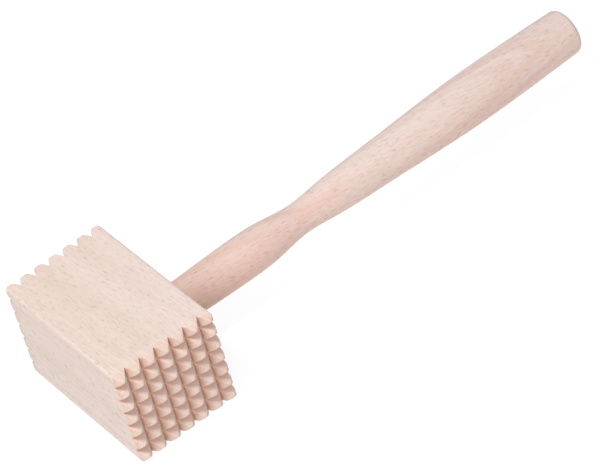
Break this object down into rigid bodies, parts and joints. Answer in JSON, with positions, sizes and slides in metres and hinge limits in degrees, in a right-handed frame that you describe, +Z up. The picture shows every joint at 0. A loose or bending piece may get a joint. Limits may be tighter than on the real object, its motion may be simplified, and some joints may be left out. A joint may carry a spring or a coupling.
{
  "type": "meat mallet",
  "caption": "Wooden kitchen mallet: a square block head with pointed teeth on its striking ends, and a long turned handle with a slim neck and a swelling grip.",
  "frame": {"origin": "middle of the head's flat underside, which lies on z = 0", "axes": "+X along the striking axis, from one toothed end to the other; +Y from the head along the handle to its free end; +Z up, out of the head's top face"},
  "size_m": [0.099, 0.33, 0.06],
  "materials": {
    "beech_block": "pale beech, planed and lightly sanded, unvarnished, teeth cut across the end grain",
    "beech_turned": "pinkish beech, turned and sanded, unvarnished",
    "set_wood_glue": "set white wood glue, yellowish and translucent, hidden in the joint"
  },
  "bodies": {
    "root": {"mallet_head": "beech_block", "handle": "beech_turned", "glue_line": "set_wood_glue"}
  },
  "joints": []
}
